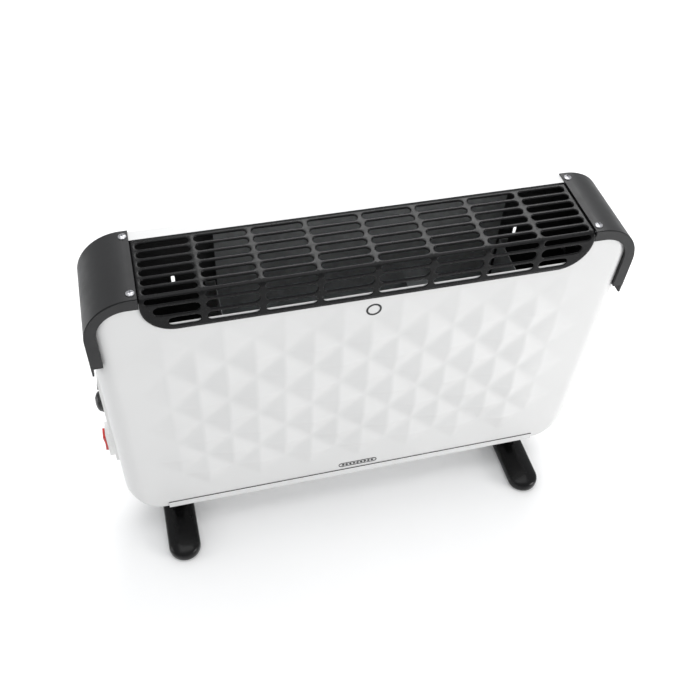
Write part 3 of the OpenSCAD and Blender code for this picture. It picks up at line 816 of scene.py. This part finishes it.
def enamel(name, colour):
    """White baked enamel outside; the case's inner side is painted near-black as painted shade, for the
    shade inside the case.
    """
    made = Recipe(name, Specular_IOR_Level=0.45)
    cloud = made.noise(9.0, 3.0)
    outer = made.ramp(cloud, tinted(colour, 0.975), tinted(colour, 1.015))
    # painted shade: near-black on the case's inner side, standing in for the shade inside the case
    inner = made.ramp(made.noise(30.0), (0.018, 0.018, 0.018), (0.028, 0.028, 0.028))
    middle = (CENTRE_X * MM, 0.0, (BOTTOM + TOP) / 2 * MM)
    # the painted shade goes on surfaces facing the case's middle, the white enamel on those facing out
    made.colour(made.mix(inner, outer, made.facing_out(middle)))
    made.rough(made.span(made.noise(140.0, 4.0), 0.36, 0.46))
    made.bump(made.noise(700.0, 3.0), 0.00002)
    return made.material


def powder_coat(name, colour, roughness, shine):
    """Baked paint on sheet steel: orange peel, a faint cloudiness and uneven sheen."""
    made = Recipe(name, Specular_IOR_Level=shine)
    cloud = made.noise(9.0, 3.0)
    made.colour(made.ramp(cloud, tinted(colour, 0.9), tinted(colour, 1.1)))
    made.rough(made.span(made.noise(140.0, 4.0), roughness - 0.04, roughness + 0.05))
    made.bump(made.noise(700.0, 3.0), 0.00001)
    return made.material


def moulded(name, colour, roughness, grain=0.00004, **extra):
    """Injection-moulded plastic with a fine spark-eroded grain."""
    made = Recipe(name, **extra)
    grain_scale = 1800.0
    cloud = made.noise(22.0, 4.0)
    speck = made.noise(grain_scale / 2, 2.0)
    base = made.ramp(cloud, tinted(colour, 0.9), tinted(colour, 1.1))
    fine = made.ramp(speck, tinted(colour, 0.85), tinted(colour, 1.15))
    made.colour(made.mix(base, fine, 0.4))
    made.rough(made.span(made.noise(60.0, 5.0), roughness - 0.05, roughness + 0.07))
    made.bump(made.noise(grain_scale, 2.0, 0.6), grain)
    return made.material


def galvanised(name):
    """Zinc-coated steel with its spangle."""
    made = Recipe(name, Metallic=0.85)
    grain = made.cells(160.0)
    spangle = made.node("ShaderNodeSeparateColor")
    made.link(grain, spangle.inputs["Color"])
    low, high = (0.36, 0.37, 0.375), (0.41, 0.42, 0.425)
    made.colour(made.ramp(spangle.outputs["Red"], low, high, 0.0, 1.0))
    made.rough(made.span(spangle.outputs["Green"], 0.48, 0.56))
    made.bump(made.noise(900.0, 3.0), 0.00002)
    return made.material


def drawn_metal(name, colour, roughness, along=(1.0, 40.0, 40.0), scale=60.0):
    """Metal with fine lines along one direction, such as an extrusion or a drawn wire."""
    made = Recipe(name, Metallic=1.0)
    lines = made.noise(scale, 4.0, 0.7, along)
    made.colour(made.ramp(lines, tinted(colour, 0.82), tinted(colour, 1.08)))
    made.rough(made.span(lines, roughness - 0.08, roughness + 0.1))
    made.bump(lines, 0.00003)
    return made.material


def ceramic(name):
    made = Recipe(name)
    made.colour(made.ramp(made.noise(300.0, 5.0), (0.72, 0.69, 0.62), (0.86, 0.84, 0.78)))
    made.rough(made.span(made.noise(180.0), 0.55, 0.75))
    made.bump(made.noise(900.0, 5.0, 0.7), 0.00006)
    return made.material


def rubber(name):
    made = Recipe(name)
    made.colour(made.ramp(made.noise(120.0, 5.0), (0.012, 0.012, 0.012), (0.035, 0.035, 0.034)))
    made.rough(made.span(made.noise(400.0), 0.7, 0.9))
    made.bump(made.noise(1500.0, 4.0), 0.00008)
    return made.material


def sleeve(name, colour):
    """A wire's jacket, with the slight waviness of extruded plastic."""
    made = Recipe(name)
    made.colour(made.ramp(made.noise(90.0), tinted(colour, 0.85), tinted(colour, 1.15)))
    made.rough(made.span(made.noise(200.0), 0.35, 0.5))
    made.bump(made.noise(350.0, 2.0), 0.00005)
    return made.material


def glowing_red(name):
    """The clear red plastic of a lamp rocker."""
    made = Recipe(name, Coat_Weight=0.5, Coat_Roughness=0.08, Transmission_Weight=0.15)
    made.colour(made.ramp(made.noise(260.0, 3.0), (0.55, 0.012, 0.010), (0.74, 0.03, 0.02)))
    made.rough(made.span(made.noise(120.0), 0.12, 0.24))
    made.bump(made.noise(800.0, 2.0), 0.00001)
    return made.material


def make_materials():
    """Every material by its slot in the record. The grain of plastics is in metres."""
    cap_black, foot_black = (0.015, 0.015, 0.0157), (0.004, 0.004, 0.0042)
    return {
        "white_steel": enamel("white_steel", (0.655, 0.655, 0.652)),
        "black_steel": powder_coat("black_steel", (0.005, 0.005, 0.0053), 0.25, 0.14),
        "cap_plastic": moulded("cap_plastic", cap_black, 0.44, 0.00002, Specular_IOR_Level=0.36),
        "foot_plastic": moulded("foot_plastic", foot_black, 0.22, 0.00001, Specular_IOR_Level=0.2),
        "screw_steel": drawn_metal("screw_steel", (0.62, 0.62, 0.64), 0.3, (1, 1, 1), 900.0),
        "pad_rubber": rubber("pad_rubber"),
        "gland_rubber": rubber("gland_rubber"),
        "mark_ink": moulded("mark_ink", (0.014, 0.015, 0.016), 0.5, 0.00001),
        "white_plastic": moulded("white_plastic", (0.82, 0.82, 0.81), 0.38, 0.00002),
        "black_plastic": moulded("black_plastic", (0.012, 0.012, 0.013), 0.30, 0.00001),
        "red_plastic": glowing_red("red_plastic"),
        "cream_plastic": moulded("cream_plastic", (0.70, 0.64, 0.50), 0.45, 0.00003),
        "zinc_steel": galvanised("zinc_steel"),
        "bar_aluminium": drawn_metal("bar_aluminium", (0.62, 0.63, 0.64), 0.38),
        "bush_ceramic": ceramic("bush_ceramic"),
        "fan_plastic": moulded("fan_plastic", (0.018, 0.018, 0.020), 0.45),
        "live_jacket": sleeve("live_jacket", (0.16, 0.06, 0.025)),
        "neutral_jacket": sleeve("neutral_jacket", (0.03, 0.08, 0.34)),
        "heater_jacket": sleeve("heater_jacket", (0.70, 0.69, 0.62)),
        "fan_jacket": sleeve("fan_jacket", (0.02, 0.02, 0.02)),
    }


# how far the edges of some CAD nodes are rounded, in millimetres
MOULDED_EDGES = {
    "cap_left": 0.45,
    "cap_right": 0.45,
    "base_tray": 0.5,
    "control_plate": 0.4,
    "heat_switch_housing": 0.5,
    "heat_rocker": 0.4,
    "fan_switch_housing": 0.25,
    "cap_screws": 0.15,
}


def dress_cad_nodes():
    for part in frame["record"]["subparts"]:
        thing = NODES[part["node"]]
        thing.data.materials.clear()
        thing.data.materials.append(MATERIALS[part["material_slot"]])
        for polygon in thing.data.polygons:
            polygon.use_smooth = True
        thing.data.set_sharp_from_angle(angle=SHARP_ANGLE)
    for node, width in MOULDED_EDGES.items():
        soften(NODES[node], width)


bpy.context.scene.view_settings.view_transform = "Standard"
MATERIALS = make_materials()
make_camera()
make_light()
make_floor()
dress_cad_nodes()
make_front_panel()
make_outlet_grille()
make_foot("foot_left")
make_foot("foot_right")
make_knob()
